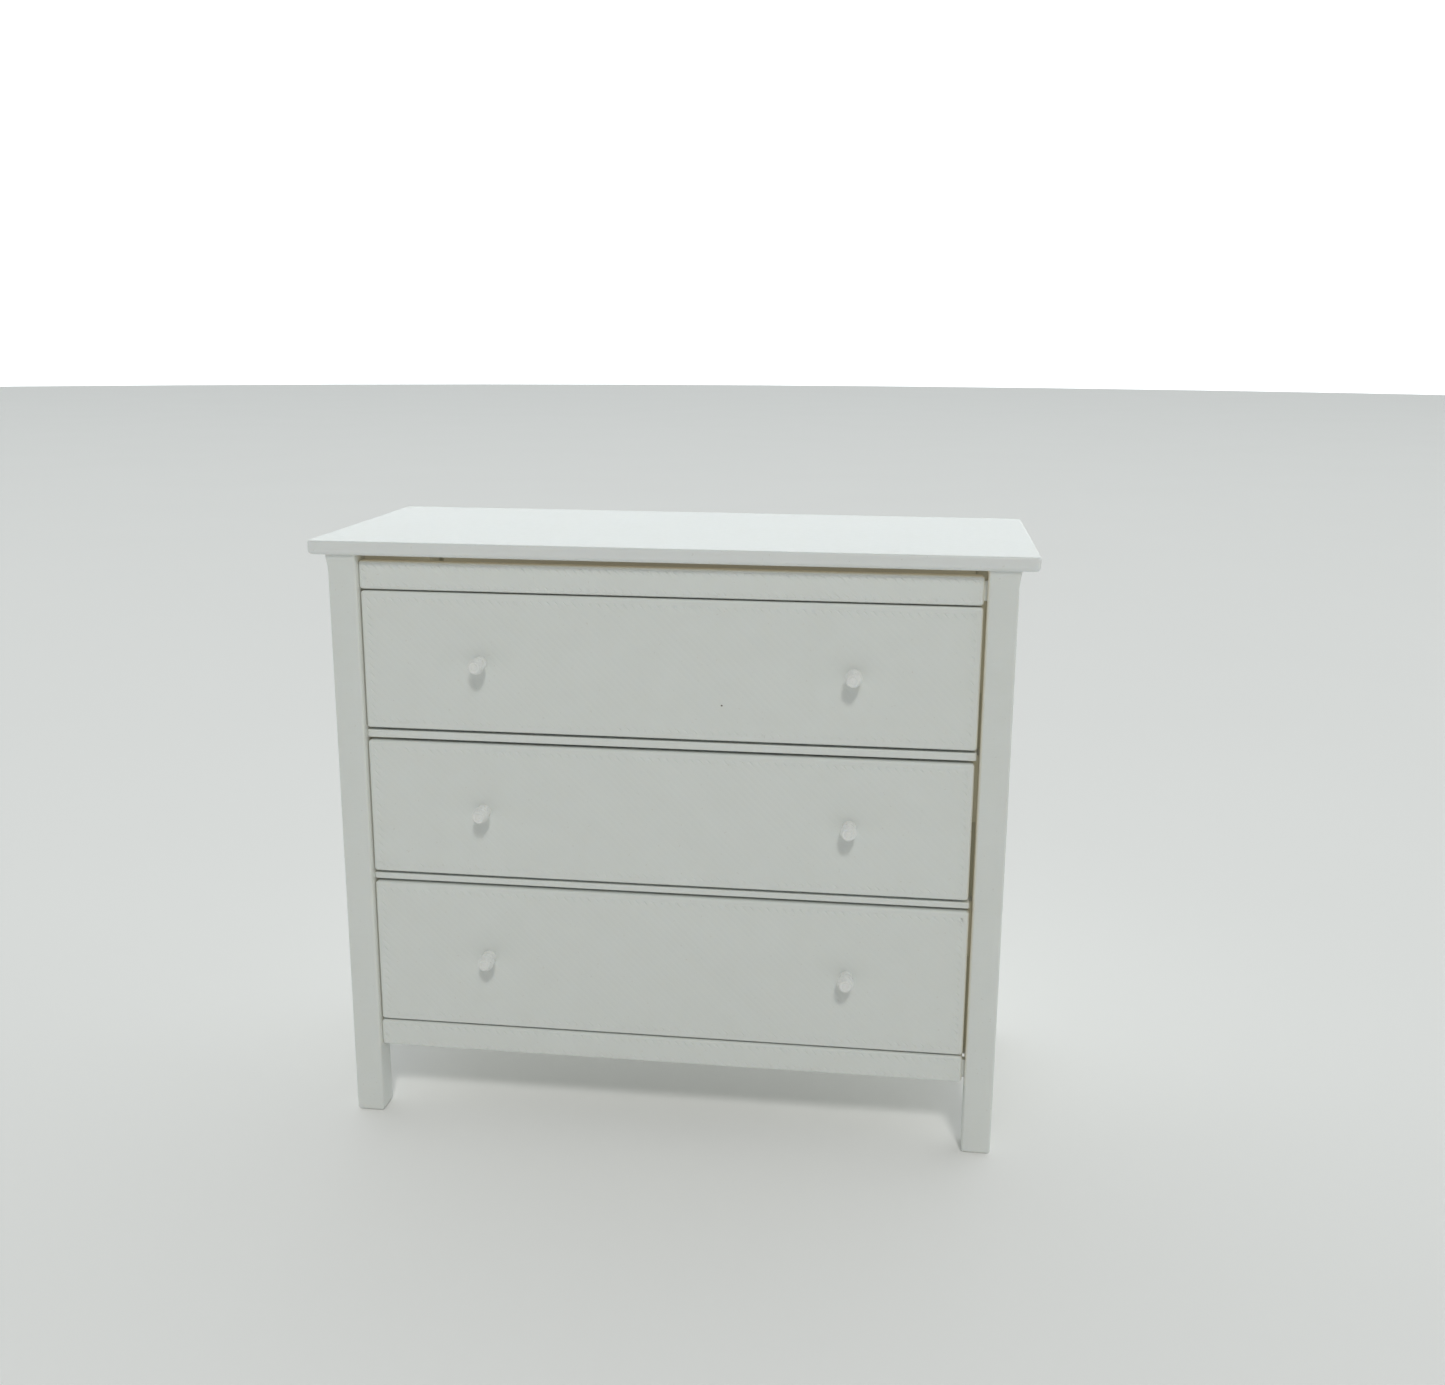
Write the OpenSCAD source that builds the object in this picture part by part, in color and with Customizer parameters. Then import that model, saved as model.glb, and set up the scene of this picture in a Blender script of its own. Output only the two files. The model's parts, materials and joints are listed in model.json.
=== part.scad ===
// Miniature chest of three drawers, at one twelfth of full size.
// Millimetres. +Z is up, the drawers open towards -Y, and left means -X.
// The origin is on the floor, at the middle of the overall width and of the overall depth.

/* [Top board] */
// Width of the top board, the widest part of the chest
top_w = 90; // [84:1:110]
// Depth of the top board from front to back
top_d = 38.6; // [36:0.2:48]
// Thickness of the top board
top_t = 1.8; // [1.6:0.1:2.6]
// How far the top board stands out past the legs at each side
side_overhang = 2.35; // [1:0.05:4]
// How far the top board stands out past the front legs
front_overhang = 0.8; // [0.8:0.1:3]
// How far the top board stands out past the rear legs
rear_overhang = 0.5; // [0.3:0.1:2]

/* [Case] */
// Width and depth of each square leg
leg_w = 3.7; // [3.4:0.05:5]
// Clear height under the bottom rail
kick_h = 9.6; // [6:0.1:16]
// Thickness of the side panels and the back panel
panel_t = 1.2; // [1:0.1:1.4]
// How far the panels lie inside the outer faces of the legs
panel_inset = 0.9; // [0.4:0.1:1]
// Thickness of the upper shelf and the bottom shelf
shelf_t = 1; // [0.8:0.05:1.6]
// Thickness of the lower shelf
lower_shelf_t = 0.8; // [0.6:0.05:1.6]
// Height of the top rail
top_rail_h = 3.6; // [3:0.1:6]
// Height of the bottom rail
bottom_rail_h = 3.6; // [3:0.1:6]
// Thickness of the two rails
rail_t = 1.8; // [1.6:0.1:2.4]
// Open slit between the top rail and the top board
board_gap = 0.8; // [0.3:0.1:1.5]

/* [Drawers] */
// Height of the upper and the middle drawer front
small_front_h = 17.8; // [14:0.1:22]
// Height of the lower drawer front
large_front_h = 19.65; // [14:0.05:26]
// Thickness of the drawer fronts
front_t = 1.8; // [1.8:0.1:2.4]
// How far the drawer fronts and rails lie behind the faces of the front legs
front_setback = 0.8; // [0.4:0.1:1.5]
// How far the shelf edges lie behind the drawer fronts
shelf_setback = 0.3; // [0.2:0.1:1.4]
// Gap between a drawer front and the shelf above or below it
front_gap = 0.35; // [0.15:0.05:0.5]
// Gap between a rail and the drawer front next to it
rail_gap = 0.2; // [0.1:0.05:0.5]
// Gap between a drawer front and the left leg
left_gap = 0.1; // [0.05:0.05:0.3]
// Gap between a drawer front or rail and the right leg
right_gap = 0.35; // [0.2:0.05:0.5]
// Extra gap at the right end of the middle drawer front
middle_extra_gap = 0.2; // [0:0.05:0.3]

/* [Knobs] */
// Distance between the two knobs of a drawer
knob_spacing = 47; // [30:0.2:60]
// Radius of the knob head
knob_r = 1.05; // [0.9:0.05:1.6]
// Height of one printed layer, which steps the dome of the knob
layer_h = 0.2; // [0.12:0.02:0.24]
// Number of layers in the knob head
knob_layers = 8; // [5:1:10]

/* [Hidden] */
$fn = 48;
white = [0.93, 0.93, 0.91];
shade = [0.88, 0.88, 0.86];

DRAWERS = ["upper", "middle", "lower"];
SIDES = ["left", "right"];
CASE_NODES = [
    "top_board", "front_left_leg", "front_right_leg", "rear_left_leg", "rear_right_leg",
    "left_side_panel", "right_side_panel", "back_panel", "top_rail", "upper_shelf",
    "lower_shelf", "bottom_shelf", "bottom_rail"
];
DRAWER_PIECES = [
    "drawer_front", "drawer_left_side", "drawer_right_side", "drawer_back", "drawer_bottom",
    "left_knob", "right_knob"
];

// Rounding of the edges
board_corner_r = 0.8;
board_upper_r = 0.3;
board_lower_r = 0.6;
leg_edge_r = 0.3;
foot_chamfer = 0.35;
plate_corner_r = 0.4;
plate_edge_r = 0.25;

// Slight spread of each leg where it meets the top board
flare = 0.2;
flare_h = 2.2;
// Heights of the lip and the bend of the spread, and the spread at the bend, as shares
flare_lip = 0.1;
flare_bend_h = 0.5;
flare_bend = 0.4;

// Length of the block that a leg's outline is cut from, more than its width
outline_l = 4 * leg_w;

// Depths of the glued joints
tenon_w = 2.35;
tenon_h = 1;
panel_tongue = 0.9;
rail_tenon_h = 2.4;
rail_tenon_t = 1;
rail_tenon_l = 0.9;
shelf_housing = 0.5;
side_tongue = 0.6;
plate_groove = 0.4;

// Knobs
peg_r = 0.5;
peg_l = 1.2;
stem_r = 0.78;
stem_foot_r = 0.95;
stem_foot_l = 0.3;
stem_l = 1.15;
// Part of the head, from its back, that is a plain cylinder
knob_flat = 0.25;
// Length over which the dome would close, as a share of the head
knob_close = 1;
knob_l = stem_l + knob_layers * layer_h;

// Spare length of a tool that cuts right through
slack = 1;

// How far the knobs stand out past the top board, which moves the board back by half of it
knob_out = max(0, knob_l - front_setback - front_overhang);
board_y = knob_out / 2;

// Outline of the case
case_w = top_w - 2 * side_overhang;
case_front = board_y - top_d / 2 + front_overhang;
case_back = board_y + top_d / 2 - rear_overhang;
inner_x = case_w / 2 - leg_w;
front_leg_back = case_front + leg_w;
rear_leg_front = case_back - leg_w;
panel_outer_x = case_w / 2 - panel_inset;
panel_inner_x = panel_outer_x - panel_t;
back_panel_y = case_back - panel_inset - panel_t;
face_y = case_front + front_setback;
shelf_front = face_y + shelf_setback;

// Levels, counted up from the floor
bottom_shelf_top = kick_h + bottom_rail_h;
lower_shelf_z = bottom_shelf_top + rail_gap + large_front_h + front_gap;
upper_shelf_z = lower_shelf_z + lower_shelf_t + small_front_h + 2 * front_gap;
top_rail_z = upper_shelf_z + shelf_t + front_gap + small_front_h + rail_gap;
leg_h = top_rail_z + top_rail_h + board_gap;

// Undersides and thicknesses of the shelves, in the order of DRAWERS
shelf_levels = [upper_shelf_z, lower_shelf_z, bottom_shelf_top - shelf_t];
shelf_thicknesses = [shelf_t, lower_shelf_t, shelf_t];

// Drawers, in the order of DRAWERS
drawer_floor = shelf_levels + shelf_thicknesses;
front_z = drawer_floor + [front_gap, front_gap, rail_gap];
front_h = [small_front_h, small_front_h, large_front_h];
front_right = [for (extra = [0, middle_extra_gap, 0]) inner_x - right_gap - extra];
front_left = -inner_x + left_gap;
run_gap = 0.05;
box_inset = 0.3;
box_top_clear = 1.8;
side_t = 1.2;
back_t = 1.2;
bottom_t = 1;
runner_h = 0.6;
side_tail = 0.6;
box_front = face_y + front_t;
box_back = back_panel_y - box_inset;
back_plate_y = box_back - side_tail - back_t;

function box_z(i) = drawer_floor[i] + run_gap;
function box_h(i) = front_h[i] - box_top_clear;
function side_outer(i, s) = s < 0 ? front_left + box_inset : front_right[i] - box_inset;
function side_inner(i, s) = side_outer(i, s) - s * side_t;
function dome(t) = knob_r * sqrt(1 - pow(max(0, (t - knob_flat) / knob_close), 2));

// ---- Shape helpers ----

// A rectangle, low edge on the axis, with its own radius for the low and the high corners
module rounded_rect(w, h, low_r, high_r) {
    for (s = [-1, 1]) {
        translate([s * (w / 2 - low_r), low_r]) circle(low_r);
        translate([s * (w / 2 - high_r), h - high_r]) circle(high_r);
    }
    translate([-w / 2, low_r]) square([w, h - low_r - high_r]);
    translate([-w / 2 + low_r, 0]) square([w - 2 * low_r, h / 2]);
    translate([-w / 2 + high_r, h / 2]) square([w - 2 * high_r, h / 2]);
}

// Extrudes an outline drawn in X and Z along Y, about y = 0
module along_y(l) {
    rotate([90, 0, 0]) linear_extrude(height = l, center = true) children();
}

// Extrudes an outline drawn in Y and Z along X, about x = 0
module along_x(l) {
    rotate([90, 0, 90]) linear_extrude(height = l, center = true) children();
}

// A box from one corner to the opposite one
module box(a, b) {
    translate(a) cube(b - a);
}

// A block standing on z = 0 with rounded corners in each of its three views
module rounded_block(size, plan_r, front_low_r, front_high_r, side_low_r, side_high_r) {
    intersection() {
        translate([0, -size.y / 2, 0])
            linear_extrude(height = size.z) rounded_rect(size.x, size.y, plan_r, plan_r);
        along_y(size.y + slack) rounded_rect(size.x, size.z, front_low_r, front_high_r);
        along_x(size.x + slack) rounded_rect(size.y, size.z, side_low_r, side_high_r);
    }
}

// A flat plate seen from the front, with its face at y = face_y
module face_plate(left, right, z, h, t) {
    translate([(left + right) / 2, face_y + t / 2, z])
        rounded_block([right - left, t, h], plate_edge_r, plate_corner_r, plate_corner_r,
            plate_edge_r, plate_edge_r);
}

// Puts its child, drawn for the left side, on the left or the right
module on_side(s) {
    mirror([s > 0 ? 1 : 0, 0, 0]) children();
}

// ---- Case ----

// The square stub on top of a leg
module leg_tenon(leg_y, grow) {
    translate([-case_w / 2 + leg_w / 2 - tenon_w / 2, leg_y + leg_w / 2 - tenon_w / 2, leg_h - grow])
        cube([tenon_w, tenon_w, tenon_h + grow]);
}

// The outline of the foot and shaft in one view, outer side at 0
module leg_outline() {
    polygon([
        [foot_chamfer, 0], [leg_w - foot_chamfer, 0], [leg_w, foot_chamfer], [leg_w, leg_h],
        [0, leg_h], [0, foot_chamfer]
    ]);
}

// The outline of the spread at the top of a leg in one view, outer side at 0
module flare_outline() {
    polygon([
        [leg_w, leg_h - flare_h], [leg_w, leg_h], [-flare, leg_h],
        [-flare, leg_h - flare_lip * flare_h],
        [-flare_bend * flare, leg_h - flare_bend_h * flare_h], [0, leg_h - flare_h]
    ]);
}

// A leg with its outer corner at the origin and its body towards +X and +Y
module leg_shaft() {
    intersection() {
        translate([leg_w / 2, 0, 0]) linear_extrude(height = leg_h)
            rounded_rect(leg_w, leg_w, leg_edge_r, leg_edge_r);
        along_y(outline_l) leg_outline();
        along_x(outline_l) leg_outline();
    }
    intersection() {
        translate([(leg_w - flare) / 2, -flare, 0]) linear_extrude(height = leg_h)
            rounded_rect(leg_w + flare, leg_w + flare, leg_edge_r, leg_edge_r);
        along_y(outline_l) flare_outline();
        along_x(outline_l) flare_outline();
    }
}

// The groove that a side panel's edge sits in, on the left
module side_panel_groove() {
    box([-panel_outer_x, front_leg_back - panel_tongue, kick_h],
        [-panel_inner_x, rear_leg_front + panel_tongue, leg_h + slack]);
}

// The groove that the back panel's edge sits in, on the left
module back_panel_groove() {
    box([-inner_x - panel_tongue, back_panel_y, kick_h], [0, back_panel_y + panel_t, leg_h + slack]);
}

// The tenon on the left end of a rail, whose face plate starts at z
module rail_tenon(z, h, reach) {
    box([-inner_x - rail_tenon_l, face_y + (rail_t - rail_tenon_t) / 2, z + (h - rail_tenon_h) / 2],
        [-inner_x + reach, face_y + (rail_t + rail_tenon_t) / 2, z + (h + rail_tenon_h) / 2]);
}

module front_leg(s) {
    color(white) on_side(s) difference() {
        union() {
            translate([-case_w / 2, case_front, 0]) leg_shaft();
            leg_tenon(case_front, 0);
        }
        side_panel_groove();
        rail_tenon(top_rail_z, top_rail_h, slack);
        rail_tenon(kick_h, bottom_rail_h, slack);
    }
}

module rear_leg(s) {
    color(white) on_side(s) difference() {
        union() {
            translate([-case_w / 2, case_back, 0]) mirror([0, 1, 0]) leg_shaft();
            leg_tenon(rear_leg_front, 0);
        }
        side_panel_groove();
        back_panel_groove();
    }
}

module top_board() {
    color(white) translate([0, 0, leg_h]) difference() {
        translate([0, board_y, 0])
            rounded_block([top_w, top_d, top_t], board_corner_r, board_lower_r, board_upper_r,
                board_lower_r, board_upper_r);
        for (s = [-1, 1], leg_y = [case_front, rear_leg_front])
            translate([0, 0, -leg_h]) on_side(s) leg_tenon(leg_y, slack);
    }
}

module side_panel(s) {
    color(shade) on_side(s) difference() {
        box([-panel_outer_x, front_leg_back - panel_tongue, kick_h],
            [-panel_inner_x, rear_leg_front + panel_tongue, leg_h]);
        for (i = [0:len(DRAWERS) - 1])
            box([-panel_inner_x - shelf_housing, front_leg_back, shelf_levels[i]],
                [-panel_inner_x + slack, rear_leg_front, drawer_floor[i]]);
    }
}

module back_panel() {
    color(shade) box([-inner_x - panel_tongue, back_panel_y, kick_h],
        [inner_x + panel_tongue, back_panel_y + panel_t, leg_h]);
}

// A rail between the front legs, tenoned into both
module rail(z, h) {
    color(white) {
        face_plate(-inner_x, inner_x - right_gap, z, h, rail_t);
        rail_tenon(z, h, plate_edge_r);
        on_side(1) rail_tenon(z, h, right_gap + plate_edge_r);
    }
}

// The shelf under drawer i, notched round the legs, with its front edge at y = front
module shelf(i, front) {
    housed_x = panel_inner_x + shelf_housing;
    color(shade) translate([0, 0, shelf_levels[i]]) linear_extrude(height = shelf_thicknesses[i]) {
        translate([-inner_x, front])
            square([2 * inner_x - right_gap, front_leg_back - front]);
        translate([-housed_x, front_leg_back])
            square([2 * housed_x, rear_leg_front - front_leg_back]);
        translate([-inner_x, rear_leg_front])
            square([2 * inner_x, back_panel_y - rear_leg_front]);
    }
}

// ---- Drawers, i is the place in DRAWERS ----

// One side of drawer i: s is -1 for the left and 1 for the right
module drawer_side_slab(i, s) {
    x = side_outer(i, s) - (s > 0 ? side_t : 0);
    translate([x, box_front - side_tongue, box_z(i)])
        cube([side_t, box_back - box_front + side_tongue, box_h(i)]);
}

// The bottom plate of drawer i, which slides into grooves on three sides
module drawer_bottom_slab(i) {
    box([side_inner(i, -1) - plate_groove, box_front - plate_groove, box_z(i) + runner_h],
        [side_inner(i, 1) + plate_groove, back_plate_y + back_t, box_z(i) + runner_h + bottom_t]);
}

// The back plate of drawer i, which stands on the bottom plate
module drawer_back_slab(i) {
    box([side_inner(i, -1) - plate_groove, back_plate_y, box_z(i) + runner_h + bottom_t],
        [side_inner(i, 1) + plate_groove, back_plate_y + back_t, box_z(i) + box_h(i)]);
}

module drawer_side(i, s) {
    color(shade) difference() {
        drawer_side_slab(i, s);
        drawer_bottom_slab(i);
        drawer_back_slab(i);
    }
}

module drawer_bottom(i) {
    color(shade) drawer_bottom_slab(i);
}

module drawer_back(i) {
    color(shade) drawer_back_slab(i);
}

// Puts its child, drawn along +Z, on the face of drawer i where knob s stands
module at_knob(i, s) {
    middle_x = (front_left + front_right[i]) / 2;
    translate([middle_x + s * knob_spacing / 2, face_y, front_z[i] + front_h[i] / 2])
        rotate([90, 0, 0]) children();
}

module drawer_front(i) {
    color(white) difference() {
        face_plate(front_left, front_right[i], front_z[i], front_h[i], front_t);
        for (s = [-1, 1]) {
            drawer_side_slab(i, s);
            at_knob(i, s) translate([0, 0, -peg_l]) cylinder(r = peg_r, h = peg_l + slack);
        }
        drawer_bottom_slab(i);
    }
}

// A turned knob whose dome rises in flat printed layers, on a peg glued into the front
module knob(i, s) {
    layers = [for (k = [0:knob_layers - 1]) each [
        [dome((k + 0.5) / knob_layers), stem_l + k * layer_h],
        [dome((k + 0.5) / knob_layers), stem_l + (k + 1) * layer_h]
    ]];
    color(white) at_knob(i, s) rotate_extrude() polygon(concat(
        [[0, -peg_l], [peg_r, -peg_l], [peg_r, 0], [stem_foot_r, 0], [stem_r, stem_foot_l], [stem_r, stem_l]],
        layers,
        [[0, knob_l]]
    ));
}

top_board();
side_panel(-1);  // left_side_panel
side_panel(1);  // right_side_panel
back_panel();
rail(top_rail_z, top_rail_h);  // top_rail
rail(kick_h, bottom_rail_h);  // bottom_rail
shelf(0, shelf_front);  // upper_shelf
shelf(1, shelf_front);  // lower_shelf
shelf(2, face_y + rail_t);  // bottom_shelf
for (k = [0, 1]) {
    s = 2 * k - 1;
    front_leg(s);
    rear_leg(s);
}
for (i = [0:len(DRAWERS) - 1]) {
    d = DRAWERS[i];
    drawer_front(i);
    drawer_back(i);
    drawer_bottom(i);
    for (k = [0, 1]) {
        s = 2 * k - 1;
        drawer_side(i, s);
        knob(i, s);
    }
}
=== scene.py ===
"""The looks of the miniature chest of drawers, as a 3-D print in white plastic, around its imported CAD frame.

Every piece is rebuilt layer by layer from the box of its CAD node. Lengths in the mesh code are millimetres.
"""

import json
import math
import zlib

import bpy
import numpy as np
from mathutils import Matrix, Vector

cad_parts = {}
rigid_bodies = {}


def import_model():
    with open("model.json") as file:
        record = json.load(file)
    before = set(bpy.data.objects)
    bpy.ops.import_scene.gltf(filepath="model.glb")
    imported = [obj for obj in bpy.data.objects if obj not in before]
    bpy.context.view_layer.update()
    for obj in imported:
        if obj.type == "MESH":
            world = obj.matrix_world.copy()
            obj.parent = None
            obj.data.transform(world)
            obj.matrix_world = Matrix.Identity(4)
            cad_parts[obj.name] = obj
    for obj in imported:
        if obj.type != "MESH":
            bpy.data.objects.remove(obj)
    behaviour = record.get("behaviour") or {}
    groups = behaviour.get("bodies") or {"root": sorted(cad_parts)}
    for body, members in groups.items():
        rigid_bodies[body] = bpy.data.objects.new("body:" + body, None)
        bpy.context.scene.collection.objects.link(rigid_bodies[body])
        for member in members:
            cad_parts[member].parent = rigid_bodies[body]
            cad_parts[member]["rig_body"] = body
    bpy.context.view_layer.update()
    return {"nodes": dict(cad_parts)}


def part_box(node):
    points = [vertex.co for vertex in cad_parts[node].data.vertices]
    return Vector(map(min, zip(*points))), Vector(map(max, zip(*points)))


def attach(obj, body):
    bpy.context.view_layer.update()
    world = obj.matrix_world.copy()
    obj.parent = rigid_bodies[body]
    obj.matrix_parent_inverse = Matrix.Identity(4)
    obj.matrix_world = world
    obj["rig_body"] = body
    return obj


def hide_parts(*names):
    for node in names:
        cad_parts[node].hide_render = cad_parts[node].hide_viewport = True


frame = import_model()

MM = 0.001
DRAWERS = ("upper", "middle", "lower")

# The print: layers, lines of plastic and the small steps between them
LAYER = 0.2
LAYER_GROOVE = 0.014
LINE_WIDTH = 0.42
LINE_SPACING = 0.375
SHARP_ANGLE = math.radians(38)

# How far the wall is moved to find which way it faces, and where its upper edge gets more rings
WALL_PROBE = 0.05
UPPER_EDGE_DEGREES = (60, 75)

# Radii of the edges
BOARD_CORNER, BOARD_UPPER, BOARD_LOWER = 0.8, 0.3, 0.6
LEG_EDGE, FOOT_CHAMFER = 0.3, 0.35
PLATE_CORNER, PLATE_EDGE = 0.4, 0.34
PANEL_CORNER, PANEL_EDGE = 0.2, 0.1
SHELF_CORNER, SHELF_LOWER, SHELF_UPPER = 0.25, 0.12, 0.15
TENON_CORNER = 0.05

# How far the first ring of a flat face lies inside its edge, and under the board
FACE_MARGIN, UNDERSIDE_MARGIN = 0.25, 2.0

# Distances between points along an outline
PLATE_SPACING, BOARD_SPACING = 1.0, 1.2

# How far the top of a leg spreads, and over which height
FLARE, FLARE_HEIGHT = 0.2, 2.2

# Half the thickness and half the height of the tenon at the right end of a rail
TENON_HALF_THICK, TENON_HALF_HIGH = 0.5, 1.2

# Lumps of plastic on a face: where they lie, and their length, width, height and turn in degrees
RAIL_LUMP_AT, RAIL_LUMP = (0.85, 1.45), (0.55, 0.2, 0.05, -38)
LOW_LUMP_AT, LOW_LUMP = (0.85, 1.2), (0.6, 0.22, 0.06, -8)
HIGH_LUMP_IN, HIGH_LUMP = (1.0, 1.3), (0.4, 0.16, 0.03, -45)
SPECK_AT, SPECK_LUMP = (45.96, 4.59), (0.24, 0.2, 0.015, 0)
LUMP_SINK = 0.3

DIRECTIONS = {
    "+X": (1, 0, 0),
    "-X": (-1, 0, 0),
    "+Y": (0, 1, 0),
    "-Y": (0, -1, 0),
    "+Z": (0, 0, 1),
}


def box_mm(node):
    """The lowest and highest corner of a CAD node, in millimetres."""
    low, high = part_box(node)
    return np.array(low) / MM, np.array(high) / MM


def random_for(name):
    """A random generator of this piece's own, so that no piece changes another."""
    return np.random.default_rng(zlib.crc32(name.encode()))


# ---- Shells ----


class Shell:
    """Points and faces of a printed piece, on build axes: a and b in the layers, and w up through them."""

    def __init__(self, low, high, directions):
        self.axes = np.array([DIRECTIONS[d] for d in directions], float)
        self.origin = np.where(self.axes.sum(0) < 0, high, low).astype(float)
        self.size = np.abs(self.axes @ (np.asarray(high, float) - np.asarray(low, float)))
        self.points = []
        self.faces = []
        self.specks = []
        self.count = 0

    def add(self, points):
        """Adds points and returns their numbers."""
        points = np.asarray(points, float).reshape(-1, 3)
        self.points.append(points)
        self.count += len(points)
        return np.arange(self.count - len(points), self.count)

    def level(self, outline, w):
        """Adds a closed outline, points of a and b, at the height w."""
        w = np.broadcast_to(w, len(outline))
        return self.add(np.column_stack([outline, w]))

    def band(self, low, high):
        """Faces between two rings with as many points each."""
        self.faces += np.stack([low, np.roll(low, -1), np.roll(high, -1), high], 1).tolist()

    def stitch(self, outer, inner):
        """Triangles between a ring and another just inside it, which may have another number of points."""
        where = np.concatenate(self.points)
        reach = [ring_shares(where[r]) for r in (outer, inner)]
        i = j = 0
        while i < len(outer) or j < len(inner):
            a, b = outer[i % len(outer)], inner[j % len(inner)]
            if j >= len(inner) or (i < len(outer) and reach[0][i + 1] <= reach[1][j + 1]):
                i += 1
                self.faces.append([int(a), int(outer[i % len(outer)]), int(b)])
            else:
                j += 1
                self.faces.append([int(inner[j % len(inner)]), int(b), int(a)])

    def world(self):
        """All points in the row frame, in millimetres."""
        return self.origin + np.concatenate(self.points) @ self.axes


def ring_shares(points):
    """How far along a closed ring each point is, from 0 to 1, with the first again at the end."""
    steps = np.linalg.norm(np.roll(points, -1, 0) - points, axis=1)
    along = np.concatenate([[0.0], np.cumsum(steps)])
    return along / along[-1]


def outline(corners, radius, inset, counts, arc=4, sharpest=0.01):
    """A counter-clockwise outline with rounded corners, moved inwards by inset.

    Edge i has counts[i] points between its corners, and each corner has arc + 1.
    """
    corners = np.asarray(corners, float)
    ends = []
    for i, here in enumerate(corners):
        before, after = here - corners[i - 1], corners[(i + 1) % len(corners)] - here
        before, after = before / np.linalg.norm(before), after / np.linalg.norm(after)
        inward = np.array([[-before[1], before[0]], [-after[1], after[0]]])
        here = here + inset * inward.sum(0) / (1 + inward[0] @ inward[1])
        turn = math.atan2(before[0] * after[1] - before[1] * after[0], before @ after)
        side = 1 if turn > 0 else -1
        bend = max(radius - side * inset, sharpest)
        start = here - before * bend * math.tan(abs(turn) / 2)
        centre = start + side * bend * inward[0]
        angles = turn * np.arange(arc + 1) / arc
        spoke = start - centre
        ends.append(
            np.column_stack([
                centre[0] + spoke[0] * np.cos(angles) - spoke[1] * np.sin(angles),
                centre[1] + spoke[0] * np.sin(angles) + spoke[1] * np.cos(angles),
            ])
        )
    rows = []
    for i, bend in enumerate(ends):
        reach = ends[(i + 1) % len(ends)][0] - bend[-1]
        shares = np.arange(1, counts[i] + 1)[:, None] / (counts[i] + 1)
        rows += [bend, bend[-1] + shares * reach]
    return np.concatenate(rows)


def edge_counts(corners, spacing):
    """How many points each edge of an outline gets between its corners."""
    lengths = np.linalg.norm(np.roll(corners, -1, 0) - np.asarray(corners, float), axis=1)
    return [max(1, int(length / spacing)) for length in lengths]


def rectangle(width, height):
    return np.array([[0, 0], [width, 0], [width, height], [0, height]], float)


# ---- Printed walls ----


def round_inset(depth, radius):
    """How far a rounded edge lies inside the wall, at a depth below the end of the wall."""
    if depth >= radius:
        return 0.0
    return radius - math.sqrt(max(0.0, radius**2 - (radius - depth) ** 2))


def wall_levels(height, low_radius, high_radius, beads=(0.3, 0.7), groove=LAYER_GROOVE):
    """(height, inset, layer) of each ring of a wall printed in layers, with a groove between layers."""
    layers = max(2, round(height / LAYER))
    step = height / layers
    levels = []
    for k in range(layers):
        levels.append((k * step, groove if k else 0.0, k))
        levels += [((k + bead) * step, 0.0, k) for bead in beads]
    for angle in UPPER_EDGE_DEGREES:
        rise = high_radius * (1 - math.sin(math.radians(angle)))
        if rise < (1 - beads[-1]) * step:
            levels.append((height - rise, 0.0, layers - 1))
    levels.append((height, 0.0, layers - 1))
    return [
        (w, extra + round_inset(w, low_radius) + round_inset(height - w, high_radius), k)
        for w, extra, k in sorted(levels)
    ]


def print_wall(shell, ring_at, levels, rng, waver=0.004, rough=0.002):
    """Rings up a printed wall, whose layers waver. ring_at gives the outline at a height and inset."""
    first = ring_at(levels[0][0], 0.0)
    outwards = (first - ring_at(levels[0][0], WALL_PROBE)) / WALL_PROBE
    number = max(k for _, _, k in levels) + 1
    shifts = rng.normal(0, waver, number)[:, None] + rng.normal(0, rough, (number, len(first)))
    rings = []
    for w, inset, k in levels:
        moved = np.minimum(shifts[k], 0)[:, None] * outwards
        rings.append(shell.level(ring_at(w, inset) + moved, w))
    for low, high in zip(rings, rings[1:]):
        shell.band(low, high)
    return rings[0], rings[-1]


def close_flat(shell, ring_at, w, inset, ring, upwards, margin=FACE_MARGIN):
    """Closes a wall with a flat face, with a ring just inside its edge."""
    inner = shell.level(ring_at(w, inset + margin), w)
    if upwards:
        shell.band(ring, inner)
        shell.faces.append(inner.tolist())
    else:
        shell.band(inner, ring)
        shell.faces.append(inner[::-1].tolist())


# ---- The surface that lines at 45 degrees leave ----

# A groove's half width in line spacings and its sharpness, and how many depths the lines go through
GROOVE_HALF, GROOVE_SHARPNESS = 0.45, 1.6
VARIATIONS, PIT_STRIDE = 97, 7

# The grooves between the loops round a face: their depth, and how far they stay off the rounded edge
LOOP_GROOVE, LOOP_CLEARANCE = 0.012, 0.04


def line_levels(width, height, samples):
    """Diagonal samples from corner to corner, with one exactly at each end of the two sides."""
    period = LINE_SPACING * math.sqrt(2)
    whole = np.arange(int((width + height) / period) + 1)[:, None] + np.asarray(samples)
    at = (whole * period).ravel()
    at = at[(at > 0.1 * period) & (at < width + height - 0.1 * period)]
    for exact in (width, height):
        at[np.abs(at - exact).argmin()] = exact
    return at


def end_distances(length, near, middles, longest):
    """Distances along one line: close together at both ends, and a few between."""
    scale = min(1.0, length / longest)
    start = np.asarray(near) * scale
    between = start[-1] + (length - 2 * start[-1]) * np.arange(1, middles + 1) / (middles + 1)
    return np.concatenate([start, between, length - start[::-1]])


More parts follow.
